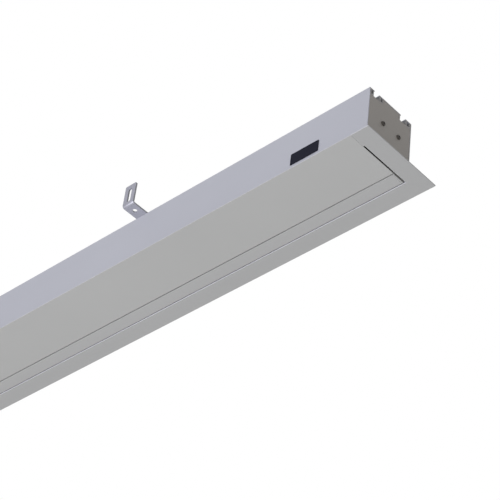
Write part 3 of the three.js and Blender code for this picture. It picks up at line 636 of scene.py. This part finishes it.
# Free cloth between roll and bar. It unrolls as the bar comes down, and its picture with it.
def makeFreeCloth(node):
    low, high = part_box(node)
    centre = (low + high) / 2
    half = (high - low) / 2
    shape = bmesh.new()
    bmesh.ops.create_grid(
        shape,
        x_segments=cloth["columns"],
        y_segments=cloth["rows"],
        size=1,
        matrix=Matrix.Translation(centre)
        @ Matrix.Rotation(math.pi / 2, 4, "X")
        @ Matrix.Diagonal((half.x, half.z, 1, 1)),
    )
    bmesh.ops.solidify(shape, geom=shape.faces, thickness=cloth["thickness"])
    bmesh.ops.translate(
        shape,
        verts=shape.verts,
        vec=(0, centre.y - sum(v.co.y for v in shape.verts) / len(shape.verts), 0),
    )
    shape.normal_update()
    for face in shape.faces:
        face.material_index = 0 if face.normal.y < -squareOn else 1
    shape.loops.layers.uv.new("cut")
    piece = addPiece(shape, "screen_cloth_sheet", None, slotOf[node], [node], [clothFront, clothBack])
    drop = next(j for j in frame["joints"] if j["name"] == "bar_drop")["range_m"][1]
    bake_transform(piece, "housing", "bar", start=(0, centre.y, high.z), end=(0, centre.y, low.z))
    share = piece.data.attributes["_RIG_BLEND"].data
    lowest = low.z - drop
    cutMap = piece.data.uv_layers["cut"].data
    for loop in piece.data.loops:
        point = piece.data.vertices[loop.vertex_index].co
        unrolled = point.z - drop * share[loop.vertex_index].value
        cutMap[loop.index].uv = (point.x, unrolled - lowest)
    return piece


# Width of the broken edges, by finish
edgeWidths = {
    "housing": 0.0003,
    "flange": 0.0003,
    "cap": 0.0004,
    "bar": 0.0003,
    "zinc": 0.0005,
    "steel": 0.0003,
    "aluminium": 0.0002,
    "nylon": 0.0005,
    "rubber": 0.0005,
}

for node in sorted(frame["nodes"]):
    if node.startswith("cap_screw"):
        makeCapScrew(node)
    elif node == "front_plate":
        makeFrontPlate(node)
    elif node == "wound_cloth":
        makeWoundCloth(node)
    elif node != "screen_cloth":
        softenNode(node, edgeWidths[slotOf[node]])
makeFreeCloth("screen_cloth")
print("pieces dressed:", len(frame["nodes"]))


# Studio

studio = {
    "floorHeight": -2.9,
    "floorSize": 30.0,
    "floorColour": "#F4F4F2",
    "floorRoughness": 0.9,
    "floorGlow": 0.7,  # share of its own colour that it shows whatever light falls on it
    "skyColour": "#F6F7FF",
    "skyStrength": 0.4,
    "lights": [
        # name, place, size, power in watts, colour, what it points at
        ("below", (0.2, 0.4, -2.6), (6.0, 3.0), 7.0, "#FFFFF2", (0.2, 0.0, 0)),
        ("front", (0.3, -3.7, -1.8), (5.0, 1.8), 97.0, "#F6F6FF", (0.3, 0, 0)),
        ("above", (0.0, 0.6, 3.0), (6.0, 4.0), 35.0, "#FFFFFF", (0, 0, 0)),
        ("back", (0.0, 4.5, 0.8), (6.0, 2.6), 50.0, "#FFFFFF", (0, 0, 0)),
    ],
}


def makeFloor():
    shape = bmesh.new()
    bmesh.ops.create_grid(shape, x_segments=1, y_segments=1, size=studio["floorSize"] / 2)
    bmesh.ops.translate(shape, verts=shape.verts, vec=(0, 0, studio["floorHeight"]))
    mesh = bpy.data.meshes.new("studioFloor")
    shape.to_mesh(mesh)
    shape.free()
    floor = addObject("studioFloor", mesh)
    material, tree, shader, _ = startMaterial("paintedFloor")
    shader.inputs["Base Color"].default_value = linear(studio["floorColour"])
    shader.inputs["Roughness"].default_value = studio["floorRoughness"]
    # pictures show it more evenly lit than it is
    seen = addNode(tree, "ShaderNodeLightPath").outputs["Is Camera Ray"]
    share = addNode(tree, "ShaderNodeMath", {0: seen, 1: studio["floorGlow"]}, operation="MULTIPLY")
    glow = addNode(tree, "ShaderNodeEmission", {"Color": linear(studio["floorColour"]), "Strength": 1.0})
    lit = addNode(
        tree,
        "ShaderNodeMixShader",
        {0: share.outputs[0], 1: shader.outputs["BSDF"], 2: glow.outputs["Emission"]},
    )
    # seen from underneath the floor is clear, because the screen is looked at from below
    facing = addNode(tree, "ShaderNodeNewGeometry").outputs["Backfacing"]
    clear = addNode(tree, "ShaderNodeBsdfTransparent")
    surface = addNode(
        tree,
        "ShaderNodeMixShader",
        {0: facing, 1: lit.outputs["Shader"], 2: clear.outputs["BSDF"]},
    )
    tree.links.new(surface.outputs["Shader"], tree.nodes["Material Output"].inputs["Surface"])
    mesh.materials.append(material)


def makeLights():
    for name, place, size, power, colour, target in studio["lights"]:
        lamp = bpy.data.lights.new(name, "AREA")
        lamp.shape = "RECTANGLE"
        lamp.size, lamp.size_y = size
        lamp.energy = power
        lamp.color = linear(colour)[:3]
        light = addObject(name, lamp)
        light.location = place
        light.rotation_euler = (Vector(target) - Vector(place)).to_track_quat("-Z", "Y").to_euler()
        light.visible_camera = False


# The camera sees plain white, and the object is lit by a pale sky
def makeSky():
    sky = bpy.data.worlds.new("studioSky")
    sky.use_nodes = True
    tree = sky.node_tree
    plain = addNode(tree, "ShaderNodeBackground", {"Color": (1, 1, 1, 1), "Strength": 1.0})
    soft = tree.nodes["Background"]
    soft.inputs["Color"].default_value = linear(studio["skyColour"])
    soft.inputs["Strength"].default_value = studio["skyStrength"]
    seen = addNode(tree, "ShaderNodeLightPath").outputs["Is Camera Ray"]
    both = addNode(
        tree,
        "ShaderNodeMixShader",
        {0: seen, 1: soft.outputs["Background"], 2: plain.outputs["Background"]},
    )
    tree.links.new(both.outputs["Shader"], tree.nodes["World Output"].inputs["Surface"])
    bpy.context.scene.world = sky


# Below the right end of the case, looking up along it
photoCamera = {
    "place": (3.0186, -1.9547, -2.5351),
    "right": (0.7377, 0.6683, 0.0963),
    "up": (0.3896, -0.5378, 0.7477),
    "lens": 135.6,
    "sensor": 36.0,
}


def makeCamera():
    lens = bpy.data.cameras.new("photoCamera")
    lens.lens = photoCamera["lens"]
    lens.sensor_width = photoCamera["sensor"]
    camera = addObject("photoCamera", lens)
    right = Vector(photoCamera["right"]).normalized()
    back = right.cross(Vector(photoCamera["up"])).normalized()
    turn = Matrix((right, back.cross(right), back)).transposed().to_4x4()
    camera.matrix_world = Matrix.Translation(photoCamera["place"]) @ turn
    bpy.context.scene.camera = camera


makeFloor()
makeLights()
makeSky()
makeCamera()
bpy.context.scene.view_settings.view_transform = "Standard"
print("studio set")
